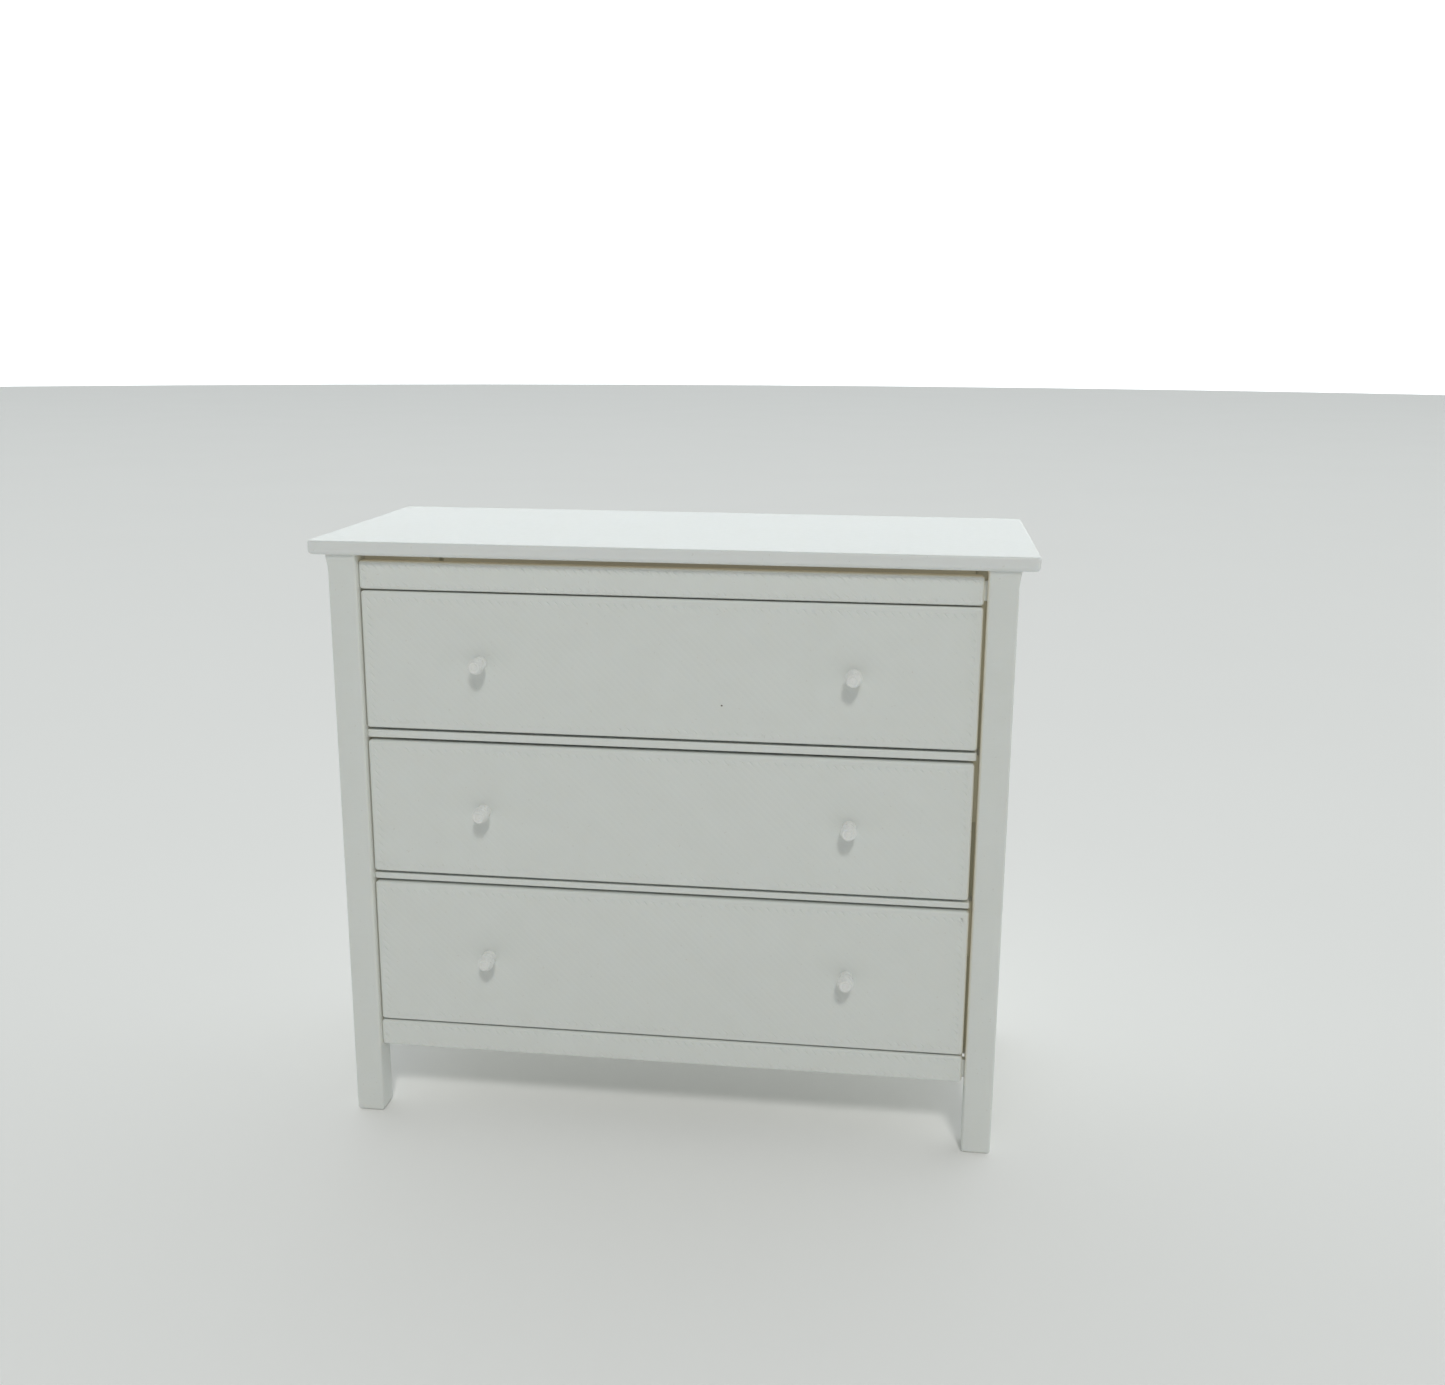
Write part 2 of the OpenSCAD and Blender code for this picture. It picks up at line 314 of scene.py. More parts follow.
def line_depth(at, distance, length, style, varied):
    """How deep the grooves between lines are.

    Pairs of lines join at one end, and the gaps between pairs open there.
    """
    period = LINE_SPACING * math.sqrt(2)
    phase = at / period
    line = int(round(phase))
    groove = max(0.0, 1 - abs(phase - line) / GROOVE_HALF) ** GROOVE_SHARPNESS
    even = line % 2 == 0
    depth = style["deep"] if even else style["shallow"]
    depth = np.full(len(distance), depth) * varied[line % len(varied)]
    for away, open_end in ((distance, even), (length - distance, not even)):
        pit = np.exp(-(((away - style["pit_at"]) / style["pit_reach"]) ** 2))
        if open_end:
            depth = depth + style["pit"] * varied[(PIT_STRIDE * line) % len(varied)] * pit
        else:
            depth = depth * (1 - np.exp(-((away / style["turn"]) ** 2)))
            bump_shape = np.exp(-(((away - style["bump_at"]) / style["bump_reach"]) ** 2))
            depth = depth - style["bump"] * bump_shape
    return groove * depth


FINE = {
    "samples": (0, 0.22, 0.5, 0.78),
    "near": (0, 0.08, 0.2, 0.36, 0.56, 0.85, 1.3),
    "middles": 3,
    "deep": 0.012,
    "shallow": 0.006,
    "pit": 0.07,
    "pit_at": 0.2,
    "pit_reach": 0.45,
    "turn": 0.35,
    "bump": 0.006,
    "bump_at": 0.12,
    "bump_reach": 0.2,
}
COARSE = dict(FINE, samples=(0, 0.5), near=(0, 0.2, 0.6), middles=1)


def print_lines(shell, corner, width, height, w, style, rng):
    """A rectangle filled with diagonal lines, from its lower left corner up. Returns its outer ring."""
    at = line_levels(width, height, style["samples"])
    varied = rng.uniform(0.75, 1.25, VARIATIONS)
    corner = np.asarray(corner, float)
    longest = 2.4 * style["near"][-1]
    rows = []
    for c in at:
        start = np.array([max(0.0, c - height), min(c, height)])
        end = np.array([min(c, width), max(0.0, c - width)])
        length = float(np.linalg.norm(end - start))
        along = end_distances(length, style["near"], style["middles"], longest)
        depth = line_depth(c, along, length, style, varied)
        shares = (along / length)[:, None]
        spots = corner + start + shares * (end - start)
        rows.append(shell.add(np.column_stack([spots, w - depth])))
    first = shell.level([corner], w)
    last = shell.level([corner + [width, height]], w)
    for low, high in zip(rows, rows[1:]):
        shell.faces += np.stack([low[:-1], low[1:], high[1:], high[:-1]], 1).tolist()
    for a, b in zip(rows[0], rows[0][1:]):
        shell.faces.append([int(first[0]), int(b), int(a)])
    for a, b in zip(rows[-1], rows[-1][1:]):
        shell.faces.append([int(a), int(b), int(last[0])])
    ends = np.array([r[-1] for r in rows])
    starts = np.array([r[0] for r in rows])[::-1]
    return np.concatenate([first, ends, last, starts])


def close_lined(shell, corners, radius, counts, w, inset, ring, style, rng, loops=2):
    """Closes a rectangular wall: loops of plastic round the edge, and diagonal lines inside them."""
    previous = ring
    for k in range(1, loops):
        groove = k * LINE_WIDTH
        for at, depth in ((groove, LOOP_GROOVE), (groove + 0.5 * LINE_WIDTH, 0.0)):
            if at > inset + LOOP_CLEARANCE:
                here = shell.level(outline(corners, radius, at, counts), w - depth)
                shell.band(previous, here)
                previous = here
    border = loops * LINE_WIDTH
    width, height = corners[2] - corners[0] - 2 * border
    inner = print_lines(shell, corners[0] + border, width, height, w, style, rng)
    half_arc = 2
    shell.stitch(np.roll(previous, -half_arc), inner)


def add_fleck(shell, at, w, length, width, height, degrees, rings=3, spokes=12):
    """A small lump of plastic lying on a face, where the nozzle started or stopped."""
    turn = math.radians(degrees)
    around = 2 * math.pi * np.arange(spokes) / spokes
    sink = LUMP_SINK * height
    loops = []
    for k in range(rings):
        lean = 0.5 * math.pi * k / rings
        a = 0.5 * length * math.cos(lean) * np.cos(around)
        b = 0.5 * width * math.cos(lean) * np.sin(around)
        spots = np.column_stack([
            at[0] + a * math.cos(turn) - b * math.sin(turn),
            at[1] + a * math.sin(turn) + b * math.cos(turn),
        ])
        loops.append(shell.level(spots, w - sink + (height + sink) * math.sin(lean)))
    for low, high in zip(loops, loops[1:]):
        shell.band(low, high)
    tip = shell.level([at], w + height)
    ring = loops[-1]
    shell.faces += [[int(a), int(b), int(tip[0])] for a, b in zip(ring, np.roll(ring, -1))]
    shell.faces.append(loops[0][::-1].tolist())
    return np.concatenate(loops + [tip])


# ---- Pieces ----


def finish_piece(shell, node, material, painted_shade=None, glow=None):
    """Makes the object that stands for a CAD node, rides on its body and takes the material it is given."""
    spots = shell.world()
    mesh = bpy.data.meshes.new(node + "_print")
    mesh.from_pydata((spots * MM).tolist(), [], shell.faces)
    mesh.polygons.foreach_set("use_smooth", [True] * len(mesh.polygons))
    mesh.set_sharp_from_angle(angle=SHARP_ANGLE)
    # The first mask paints warm shade into the colour in the gaps; the second paints a glow that stands in for
    # light through the plastic
    painted_shade_amount = np.zeros(len(spots)) if painted_shade is None else np.clip(painted_shade(spots), 0, 1)
    through = np.zeros(len(spots)) if glow is None else glow(spots)
    speck = np.zeros(len(spots))
    for numbers in shell.specks:
        speck[numbers] = 1.0
    for name, values in (("painted_gap_shade", painted_shade_amount), ("glow", through), ("speck", speck)):
        attribute = mesh.attributes.new(name, "FLOAT", "POINT")
        attribute.data.foreach_set("value", values.astype(np.float32))
    mesh.materials.append(material)
    piece = bpy.data.objects.new(node + "_print", mesh)
    bpy.context.scene.collection.objects.link(piece)
    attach(piece, frame["nodes"][node]["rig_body"])
    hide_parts(node)
    return piece


def plate_shell(low, high, directions, name, style, corner=PLATE_CORNER, edge=PLATE_EDGE, loops=2):
    """A flat printed plate, with w through its thickness and diagonal lines on its upper face."""
    rng = random_for(name)
    shell = Shell(low, high, directions)
    width, height, thick = shell.size
    corners = rectangle(width, height)
    counts = edge_counts(corners, PLATE_SPACING)

    def ring_at(w, inset):
        return outline(corners, corner, inset, counts)

    levels = wall_levels(thick, edge, edge)
    bottom, top = print_wall(shell, ring_at, levels, rng)
    close_flat(shell, ring_at, 0.0, edge, bottom, upwards=False)
    close_lined(shell, corners, corner, counts, thick, edge, top, style, rng, loops)
    return shell


def add_slab(shell, low, high, directions):
    """A plain block joined to a shell, given by corners in the row frame, such as a tenon."""
    part = Shell(low, high, directions)
    width, height, thick = part.size
    corners = rectangle(width, height)

    def ring_at(w, inset):
        return outline(corners, TENON_CORNER, inset, [1, 1, 1, 1], arc=2)

    bottom, top = (part.level(ring_at(w, 0.0), w) for w in (0.0, thick))
    part.band(bottom, top)
    part.faces.append(top.tolist())
    part.faces.append(bottom[::-1].tolist())
    local = (part.world() - shell.origin) @ shell.axes.T
    numbers = shell.add(local)
    shell.faces += [[int(numbers[v]) for v in face] for face in part.faces]


def make_board(material, painted_shade):
    """The top board, smooth on top, with the layers showing on its rounded edges."""
    rng = random_for("top_board")
    low, high = box_mm("top_board")
    shell = Shell(low, high, ("+X", "+Y", "+Z"))
    width, depth, thick = shell.size
    corners = rectangle(width, depth)
    counts = edge_counts(corners, BOARD_SPACING)

    def ring_at(w, inset):
        return outline(corners, BOARD_CORNER, inset, counts, arc=6)

    levels = wall_levels(thick, BOARD_LOWER, BOARD_UPPER)
    bottom, top = print_wall(shell, ring_at, levels, rng, waver=0.006, rough=0.004)
    close_flat(shell, ring_at, 0.0, BOARD_LOWER, bottom, upwards=False, margin=UNDERSIDE_MARGIN)
    close_flat(shell, ring_at, thick, BOARD_UPPER, top, upwards=True)
    return finish_piece(shell, "top_board", material, painted_shade)


def flare_at(w, height):
    """How far the top of a leg spreads at the height w."""
    up = (w - (height - FLARE_HEIGHT)) / FLARE_HEIGHT
    return FLARE * np.interp(up, [0, 0.5, 0.9, 1], [0, 0.4, 1, 1])


def make_leg(node, material, painted_shade, glow):
    """A leg printed upright, in level layers, with a chamfered foot and a slight spread under the board."""
    rng = random_for(node)
    low, high = box_mm(node)
    outer_x = -1 if "left" in node else 1
    outer_y = -1 if "front" in node else 1
    high[2] = box_mm("top_board")[0][2]
    height = high[2] - low[2]
    for axis, outer in ((0, outer_x), (1, outer_y)):
        if outer < 0:
            low[axis] += FLARE
        else:
            high[axis] -= FLARE
    shell = Shell(low, high, ("+X", "+Y", "+Z"))
    side_x, side_y = shell.size[:2]
    counts = [3, 3, 3, 3]

    def ring_at(w, inset):
        flare = flare_at(w, height)
        corners = rectangle(side_x, side_y)
        corners[[0, 3] if outer_x < 0 else [1, 2], 0] += outer_x * flare
        corners[[0, 1] if outer_y < 0 else [2, 3], 1] += outer_y * flare
        foot = max(0.0, FOOT_CHAMFER - w)
        return outline(corners, LEG_EDGE, inset + foot, counts, arc=3)

    levels = wall_levels(height, 0.0, 0.0, beads=(0.5,), groove=0.01)
    bottom, top = print_wall(shell, ring_at, levels, rng, waver=0.004, rough=0.003)
    close_flat(shell, ring_at, 0.0, 0.0, bottom, upwards=False)
    close_flat(shell, ring_at, height, 0.0, top, upwards=True)
    return finish_piece(shell, node, material, painted_shade, glow)


def shelf_corners(front, case):
    """The outline of a shelf: wide between the panels, and narrow between the legs at both ends."""
    left, right, face_right, housed, front_back, rear_front, back = case
    return np.array([
        [left, front], [face_right, front], [face_right, front_back], [housed, front_back],
        [housed, rear_front], [right, rear_front], [right, back], [left, back],
        [left, rear_front], [-housed, rear_front], [-housed, front_back], [left, front_back],
    ])


def make_shelf(node, material, painted_shade):
    """A shelf that is notched round the legs, with the layers showing along its front edge."""
    rng = random_for(node)
    low, high = box_mm(node)
    left = box_mm("front_left_leg")[1][0]
    case = (
        left,
        -left,
        box_mm("upper_drawer_front")[1][0],
        high[0],
        box_mm("front_left_leg")[1][1],
        box_mm("rear_left_leg")[0][1],
        high[1],
    )
    shell = Shell(low, high, ("+X", "+Y", "+Z"))
    corners = shelf_corners(low[1], case) - low[:2]
    counts = edge_counts(corners, PLATE_SPACING)
    thick = shell.size[2]

    def ring_at(w, inset):
        return outline(corners, SHELF_CORNER, inset, counts)

    levels = wall_levels(thick, SHELF_LOWER, SHELF_UPPER)
    bottom, top = print_wall(shell, ring_at, levels, rng, waver=0.008, rough=0.003)
    close_flat(shell, ring_at, 0.0, SHELF_LOWER, bottom, upwards=False)
    close_flat(shell, ring_at, thick, SHELF_UPPER, top, upwards=True)
    return finish_piece(shell, node, material, painted_shade)


def make_rail(node, material, painted_shade, glow=None):
    """A rail, printed face up, with the tenon that crosses the gap at its right end."""
    low, high = box_mm(node)
    tenon_end = high[0]
    low[0] = box_mm("front_left_leg")[1][0]
    high[0] = box_mm("upper_drawer_front")[1][0]
    shell = plate_shell(low, high, ("+X", "+Z", "-Y"), node, FINE, loops=1)
    middle = (low + high) / 2
    add_slab(
        shell,
        [high[0] - PLATE_EDGE, middle[1] - TENON_HALF_THICK, middle[2] - TENON_HALF_HIGH],
        [tenon_end, middle[1] + TENON_HALF_THICK, middle[2] + TENON_HALF_HIGH],
        ("+X", "+Z", "-Y"),
    )
    add_fleck(shell, RAIL_LUMP_AT, shell.size[2], *RAIL_LUMP)
    return finish_piece(shell, node, material, painted_shade, glow)


def make_front(drawer, material, painted_shade):
    """A drawer front, printed face up, with the lumps that the start of a line leaves near its corner."""
    node = f"{drawer}_drawer_front"
    low, high = box_mm(node)
    shell = plate_shell(low, high, ("+X", "+Z", "-Y"), node, FINE)
    width, height, thick = shell.size
    add_fleck(shell, LOW_LUMP_AT, thick, *LOW_LUMP)
    add_fleck(shell, (width - HIGH_LUMP_IN[0], height - HIGH_LUMP_IN[1]), thick, *HIGH_LUMP)
    if drawer == "upper":
        shell.specks.append(add_fleck(shell, SPECK_AT, thick, *SPECK_LUMP))
    # Painted glow along the right end of the front
    glow = edge_glow(0, high[0], END_THROUGH)
    return finish_piece(shell, node, material, painted_shade, glow)


def make_panel(node, directions, material, glow=None):
    """A thin flat plate, such as a side panel, with the lines on the face that w points to."""
    low, high = box_mm(node)
    shell = plate_shell(low, high, directions, node, COARSE, PANEL_CORNER, PANEL_EDGE)
    return finish_piece(shell, node, material, None, glow)


# The radii and heights of a knob's stem, of its flared foot and of the grooves between its layers
STEM, STEM_HEIGHT, STEM_GROOVE = 0.78, 1.15, 0.03
FOOT, FOOT_RIM, FOOT_HEIGHT = 0.95, 0.08, 0.3

# The head: its radius and layers, the share of its height that stays round, and how fast it closes
HEAD, HEAD_LAYERS, HEAD_FLAT, HEAD_CLOSE = 1.05, 8, 0.25, 1.0

# The numbers of the layers at the top of the stem, at the start of the head and at the tip
STEM_TOP_LAYER, HEAD_FIRST_LAYER = 5, 6
TIP_LAYER = HEAD_FIRST_LAYER + HEAD_LAYERS - 1

# (inset, share of the layer's height) of the rings of one layer of the head
HEAD_BEAD = ((0.07, 0.0), (0.015, 0.16), (0.0, 0.4), (0.0, 0.6), (0.02, 0.84), (0.06, 0.98))

# (inset, rise) of the rings on the tip, from its rim inwards, and the last ring as (radius, rise)
TIP_RINGS = ((0.1, 0.004), (0.2, -0.02), (0.27, -0.07), (0.34, -0.05))
TIP_END = (0.12, -0.04)

# How far the layers of a knob lie off centre and differ in radius, and its root in the front
KNOB_SHIFT, KNOB_SWELL, KNOB_CLEARANCE = 0.016, 0.012, 0.001
ROOT_INNER, ROOT_OUTER, ROOT_DEPTH = 0.5, 0.9, 0.3
KNOB_SPOKES = 40


def knob_profile():
    """(radius, height, layer) up a knob: a flared foot and a stem, then a head whose dome closes in steps."""
    rows = [(FOOT, 0.0, 0), (FOOT, FOOT_RIM, 0), (STEM + STEM_GROOVE, FOOT_HEIGHT, 0)]
    for k in range(1, int((STEM_HEIGHT - FOOT_HEIGHT) / LAYER) + 1):
        w = FOOT_HEIGHT + k * LAYER
        rows += [(STEM, w - 0.5 * LAYER, k), (STEM - STEM_GROOVE, w, k)]
    rows.append((STEM, STEM_HEIGHT, STEM_TOP_LAYER))
    for k in range(HEAD_LAYERS):
        t = max(0.0, ((k + 0.5) / HEAD_LAYERS - HEAD_FLAT) / HEAD_CLOSE)
        radius = HEAD * math.sqrt(1 - t**2)
        w = STEM_HEIGHT + k * LAYER
        for inset, share in HEAD_BEAD:
            rows.append((radius - inset, w + share * LAYER, HEAD_FIRST_LAYER + k))
    rim, top, _ = rows[-1]
    rows += [(rim - inset, top + rise, TIP_LAYER) for inset, rise in TIP_RINGS]
    rows.append((TIP_END[0], top + TIP_END[1], TIP_LAYER))
    return rows


def make_knob(drawer, side, material):
    """A small knob that stands out from the face, in layers that are each a little off centre."""
    node = f"{drawer}_{side}_knob"
    rng = random_for(node)
    low, high = box_mm(node)
    face = box_mm(f"{drawer}_drawer_front")[0][1]
    centre = (low + high) / 2
    shell = Shell([centre[0], low[1], centre[2]], [centre[0], face, centre[2]], ("+X", "+Z", "-Y"))
    around = 2 * math.pi * np.arange(KNOB_SPOKES) / KNOB_SPOKES
    circle = np.column_stack([np.cos(around), np.sin(around)])
    shifts = rng.normal(0, KNOB_SHIFT, (TIP_LAYER + 1, 2))
    swell = rng.normal(0, KNOB_SWELL, TIP_LAYER + 1)
    sunk = shell.level(ROOT_INNER * circle, -ROOT_DEPTH)
    rings = [shell.level(ROOT_OUTER * circle, -ROOT_DEPTH)]
    shell.faces.append(sunk[::-1].tolist())
    shell.band(sunk, rings[0])
    limit = (high[0] - low[0]) / 2
    for radius, w, layer in knob_profile():
        shift, wide = (shifts[layer], swell[layer]) if layer else (np.zeros(2), 0.0)
        reach = min(radius + wide, limit - KNOB_CLEARANCE - np.linalg.norm(shift))
        rings.append(shell.level(shift + reach * circle, min(w, shell.size[2])))
    for a, b in zip(rings, rings[1:]):
        shell.band(a, b)
    shell.faces.append(rings[-1].tolist())
    return finish_piece(shell, node, material)


# ---- Where warm shade is painted in the gaps, and where a glow is painted for light through the plastic ----

# How strong the painted warm shade is on the legs, the right ends, the top rail's upper edge and the board
LEG_PAINTED_SHADE = {"front_left_leg": 0.05, "front_right_leg": 0.6}
END_PAINTED_SHADE, SLIT_PAINTED_SHADE, BOARD_PAINTED_SHADE = 0.45, 0.8, 0.9

# Over which distances the painted shade comes in: up a leg, and behind the face of an end and of the slit
LEG_FADE, END_FADE, SLIT_FADE = 6, 0.4, 0.3

# How strong the painted glow is that stands in for light through the panels and thin edges, and how far in
# from an edge
PANEL_THROUGH, BACK_THROUGH = 0.4, 0.4
UPPER_THROUGH, END_THROUGH = 0.35, 0.12
LEG_THROUGH = {"front_left_leg": 0.12, "front_right_leg": 0.2}
REAR_THROUGH = 0.2
EDGE_REACH, FACE_REACH = 0.3, 0.02

# How far off a face a point may be and still count as on it
ON_FACE = 0.001


def near(values, at, reach):
    """1 at a place, falling smoothly to 0 at reach from it."""
    return np.clip(1 - np.abs(values - at) / reach, 0, 1)


def case_range():
    """The heights that the drawers and rails take up."""
    return box_mm("bottom_rail")[0][2], box_mm("top_board")[0][2]


def leg_painted_shade(node):
    """Painted warm shade on the inner side of a front leg, beside the drawers."""
    inner = box_mm("front_left_leg")[1][0] if "left" in node else box_mm("front_right_leg")[0][0]
    bottom, top = case_range()

    def painted_shade(spots):
        within = np.clip((spots[:, 2] - bottom) / LEG_FADE, 0, 1) * (spots[:, 2] < top + 1)
        return LEG_PAINTED_SHADE[node] * near(spots[:, 0], inner, EDGE_REACH) * within

    return painted_shade


def end_painted_shade(spots):
    """Painted warm shade on the right end of a front or rail, behind its face."""
    right = box_mm("upper_drawer_front")[1][0]
    behind = np.clip((spots[:, 1] - box_mm("upper_drawer_front")[0][1]) / END_FADE, 0, 1)
    return END_PAINTED_SHADE * near(spots[:, 0], right, EDGE_REACH) * behind


def rail_painted_shade(spots):
    """Painted warm shade on the upper edge of the top rail, in the slit under the board, and at its right end.
    """
    top = box_mm("top_rail")[1][2]
    behind = np.clip((spots[:, 1] - box_mm("upper_drawer_front")[0][1]) / SLIT_FADE, 0, 1)
    return np.maximum(SLIT_PAINTED_SHADE * near(spots[:, 2], top, EDGE_REACH) * behind, end_painted_shade(spots))


def edge_glow(axis, at, strength):
    """Painted glow, standing in for light that comes through an edge or face that lies at a place on an axis,
    beside the drawers.
    """
    bottom, top = case_range()

    def glow(spots):
        within = (spots[:, 2] > bottom) & (spots[:, 2] < top)
        return strength * near(spots[:, axis], at, EDGE_REACH) * within

    return glow


def rail_glow(spots):
    """Painted glow on the upper edge of the top rail and on its right end, standing in for light that comes
    through them.
    """
    top = box_mm("top_rail")[1][2]
    right = box_mm("upper_drawer_front")[1][0]
    upper = UPPER_THROUGH * near(spots[:, 2], top, EDGE_REACH)
    return np.maximum(upper, END_THROUGH * near(spots[:, 0], right, EDGE_REACH))


def panel_glow(spots):
    """Painted glow on the inner face of a side panel, standing in for light that comes through it."""
    inner = box_mm("right_side_panel")[0][0]
    return PANEL_THROUGH * (np.abs(spots[:, 0]) < inner + ON_FACE)


def back_glow(spots):
    """Painted glow on the inner face of the back panel, standing in for light that comes through it."""
    return BACK_THROUGH * (spots[:, 1] < box_mm("back_panel")[0][1] + ON_FACE)


def board_painted_shade(spots):
    """Painted warm shade on the underside of the board, behind its front edge."""
    behind = spots[:, 1] > box_mm("top_rail")[0][1]
    return BOARD_PAINTED_SHADE * near(spots[:, 2], box_mm("top_board")[0][2], FACE_REACH) * behind


# ---- Materials ----

# The colours of the plastic, of the painted glow for light through it, of the painted warm shade in gaps, of
# the dark speck and of dust
WHITE = (0.775, 0.80, 0.775)
THROUGH = (0.30, 0.265, 0.185, 1.0)
PAINTED_SHADE_COLOUR = (0.62, 0.55, 0.40, 1.0)
SPECK = (0.12, 0.1, 0.08, 1.0)
DUST = (0.62, 0.6, 0.55, 1.0)
CLOUD_SHARES = (0.985, 0.983, 0.978)

# Level marks: their direction, period and depth
LEVEL_LINES = ((0, 0, 1), LAYER, 0.002)


def node_of(tree, kind, inputs=None, **settings):
    """Adds a shader node with its settings and the values of its inputs."""
    made = tree.nodes.new(kind)
    for key, value in settings.items():
        setattr(made, key, value)
    for key, value in (inputs or {}).items():
        made.inputs[key].default_value = value
    return made


def noise(tree, coordinates, scale, detail=2.0, roughness=0.5):
    """Noise over the piece, with scale in features per millimetre."""
    made = node_of(
        tree, "ShaderNodeTexNoise", {"Scale": scale / MM, "Detail": detail, "Roughness": roughness}
    )
    tree.links.new(coordinates, made.inputs["Vector"])
    return made.outputs["Fac"]


def ranged(tree, value, low, high, start=0.0, end=1.0):
    """Maps a value from start..end to low..high."""
    made = node_of(
        tree, "ShaderNodeMapRange", {"From Min": start, "From Max": end, "To Min": low, "To Max": high}
    )
    tree.links.new(value, made.inputs["Value"])
    return made.outputs["Result"]


def mixed(tree, factor, first, second):
    """A mix of two colours, each a socket or four numbers."""
    made = node_of(tree, "ShaderNodeMix", data_type="RGBA")
    for name, value in (("Factor", factor), ("A", first), ("B", second)):
        socket = [s for s in made.inputs if s.name == name and s.enabled][0]
        if isinstance(value, (tuple, float)):
            socket.default_value = value
        else:
            tree.links.new(value, socket)
    return [s for s in made.outputs if s.enabled][0]


def attribute_of(tree, name):
    return node_of(tree, "ShaderNodeAttribute", attribute_name=name).outputs["Fac"]


def stripes(tree, coordinates, direction, period):
    """A wave across a direction in the row frame, with a period in millimetres."""
    across = node_of(tree, "ShaderNodeVectorMath", operation="DOT_PRODUCT")
    across.inputs[1].default_value = Vector(direction).normalized() / (period * MM)
    tree.links.new(coordinates, across.inputs[0])
    turn = node_of(tree, "ShaderNodeMath", {1: 2 * math.pi}, operation="MULTIPLY")
    tree.links.new(across.outputs["Value"], turn.inputs[0])
    wave = node_of(tree, "ShaderNodeMath", operation="SINE")
    tree.links.new(turn.outputs["Value"], wave.inputs[0])
    return wave.outputs["Value"]


def bump(tree, height, distance, below=None):
    """A bump whose height, from 0 to 1, is distance millimetres."""
    made = node_of(tree, "ShaderNodeBump", {"Strength": 1.0, "Distance": distance * MM})
    tree.links.new(height, made.inputs["Height"])
    if below is not None:
        tree.links.new(below, made.inputs["Normal"])
    return made.outputs["Normal"]


def printed_plastic(name, tone, roughness, lines=None, cloud=0.25, grain=0.0016, gloss_spread=0.06):
    """White printed plastic: cloudy colour, dust, painted warm shade in gaps, a dark speck, a painted glow,
    uneven gloss, fine grain and, where asked, line marks.
    """
    material = bpy.data.materials.new(name)
    material.use_nodes = True
    tree = material.node_tree
    shader = tree.nodes["Principled BSDF"]
    coordinates = node_of(tree, "ShaderNodeTexCoord").outputs["Object"]

    darker = tuple(c * s for c, s in zip(tone, CLOUD_SHARES)) + (1.0,)
    clouds = ranged(tree, noise(tree, coordinates, cloud, 3.0), 0.0, 1.0, 0.3, 0.7)
    colour = mixed(tree, clouds, tone + (1.0,), darker)
    dust = ranged(tree, noise(tree, coordinates, 2.6, 1.0), 0.0, 0.35, 0.74, 0.8)
    colour = mixed(tree, dust, colour, DUST)
    # Painted warm shade in the gaps between pieces, mixed into the base colour
    colour = mixed(tree, attribute_of(tree, "painted_gap_shade"), colour, PAINTED_SHADE_COLOUR)
    colour = mixed(tree, attribute_of(tree, "speck"), colour, SPECK)
    tree.links.new(colour, shader.inputs["Base Color"])
    # Painted glow: emission that stands in for light coming through thin plastic
    shader.inputs["Emission Color"].default_value = THROUGH
    tree.links.new(attribute_of(tree, "glow"), shader.inputs["Emission Strength"])

    uneven = noise(tree, coordinates, 1.2, 3.0)
    gloss = ranged(tree, uneven, roughness - gloss_spread, roughness + gloss_spread, 0.3, 0.7)
    tree.links.new(gloss, shader.inputs["Roughness"])

    normal = bump(tree, noise(tree, coordinates, 9.0, 3.0, 0.6), grain)
    normal = bump(tree, noise(tree, coordinates, 0.35, 2.0), 4 * grain, normal)
    for direction, period, depth in lines or ():
        normal = bump(tree, stripes(tree, coordinates, direction, period), depth, normal)
    tree.links.new(normal, shader.inputs["Normal"])

    shader.inputs["IOR"].default_value = 1.46
    shader.inputs["Specular IOR Level"].default_value = 0.5
    shader.inputs["Subsurface Weight"].default_value = 0.2
    shader.inputs["Subsurface Radius"].default_value = (1.0, 0.85, 0.68)
    shader.inputs["Subsurface Scale"].default_value = 0.3 * MM
    return material


top_plastic = printed_plastic("top plastic", (0.80, 0.82, 0.81), 0.34, cloud=0.08, grain=0.0008)
leg_plastic = printed_plastic("leg plastic", WHITE, 0.42, [LEVEL_LINES])
front_plastic = printed_plastic("front plastic", WHITE, 0.38, [((1, 0, 1), 2 * LINE_SPACING, 0.0006)])
shelf_plastic = printed_plastic("shelf plastic", WHITE, 0.46, [((1, 1, 0), LINE_SPACING, 0.004)])
panel_plastic = printed_plastic("panel plastic", WHITE, 0.5, [((0, 1, 1), LINE_SPACING, 0.002)])
back_plastic = printed_plastic("back plastic", WHITE, 0.5, [((-1, 0, 1), LINE_SPACING, 0.002)])
box_plastic = printed_plastic("drawer box plastic", WHITE, 0.5, [LEVEL_LINES])
knob_plastic = printed_plastic("knob plastic", (0.85, 0.86, 0.84), 0.28, [((0, 1, 0), LAYER, 0.003)])

# ---- The chest ----

